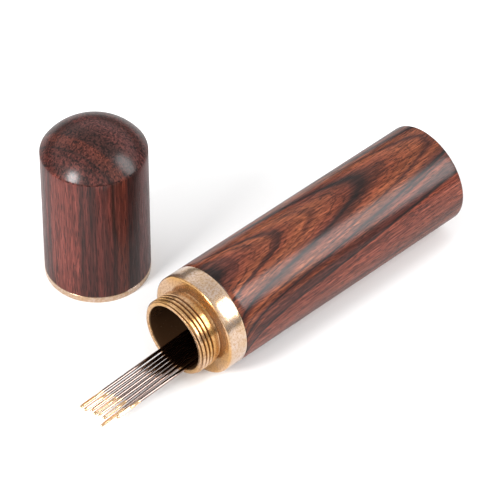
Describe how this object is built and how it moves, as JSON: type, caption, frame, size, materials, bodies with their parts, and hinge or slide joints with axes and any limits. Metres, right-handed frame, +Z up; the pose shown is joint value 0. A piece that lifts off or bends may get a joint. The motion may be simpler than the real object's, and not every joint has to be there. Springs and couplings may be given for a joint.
{
  "type": "needle case",
  "caption": "Round turned-wood needle case, open: barrel with a threaded brass collar, a domed screw cap with a brass rim, and loose sewing needles in the bore.",
  "frame": {"origin": "centre of the group's footprint, on the table it lies on", "axes": "+X along the barrel from its mouth to its closed end, +Y from the barrel towards the standing cap, +Z up"},
  "size_m": [0.085, 0.0514, 0.0348],
  "materials": {
    "rosewood": "satin lacquer",
    "brass": "fine turned",
    "needle_steel": "polished, gold-plated at the eye"
  },
  "bodies": {
    "case": {"barrel": "rosewood", "collar": "brass"},
    "cap": {"cap_shell": "rosewood", "cap_insert": "brass"},
    "needle_1": {"needle_1": "needle_steel"},
    "needle_2": {"needle_2": "needle_steel"},
    "needle_3": {"needle_3": "needle_steel"},
    "needle_4": {"needle_4": "needle_steel"},
    "needle_5": {"needle_5": "needle_steel"},
    "needle_6": {"needle_6": "needle_steel"},
    "needle_7": {"needle_7": "needle_steel"},
    "needle_8": {"needle_8": "needle_steel"}
  },
  "joints": [
    {"name": "cap_lift", "type": "slide", "parent": "case", "child": "cap", "axis": [0, 0, 1], "range_m": [0, 0.05]},
    {"name": "needle_1_slide", "type": "slide", "parent": "case", "child": "needle_1", "axis": [0.9994, 0.0249, 0.0244], "range_m": [-0.0227, 0.0208]},
    {"name": "needle_2_slide", "type": "slide", "parent": "case", "child": "needle_2", "axis": [0.9993, 0.0249, 0.0279], "range_m": [-0.0231, 0.0204]},
    {"name": "needle_3_slide", "type": "slide", "parent": "case", "child": "needle_3", "axis": [0.9991, 0.0249, 0.0349], "range_m": [-0.024, 0.0195]},
    {"name": "needle_4_slide", "type": "slide", "parent": "case", "child": "needle_4", "axis": [0.9987, 0.0249, 0.0436], "range_m": [-0.0241, 0.0194]},
    {"name": "needle_5_slide", "type": "slide", "parent": "case", "child": "needle_5", "axis": [0.9991, 0.0249, 0.034], "range_m": [-0.0244, 0.0191]},
    {"name": "needle_6_slide", "type": "slide", "parent": "case", "child": "needle_6", "axis": [0.9979, 0.0249, 0.0593], "range_m": [-0.0248, 0.0187]},
    {"name": "needle_7_slide", "type": "slide", "parent": "case", "child": "needle_7", "axis": [0.9971, 0.0249, 0.0715], "range_m": [-0.0233, 0.0202]},
    {"name": "needle_8_slide", "type": "slide", "parent": "case", "child": "needle_8", "axis": [0.9994, 0.0249, 0.0227], "range_m": [-0.0258, 0.0177]}
  ]
}
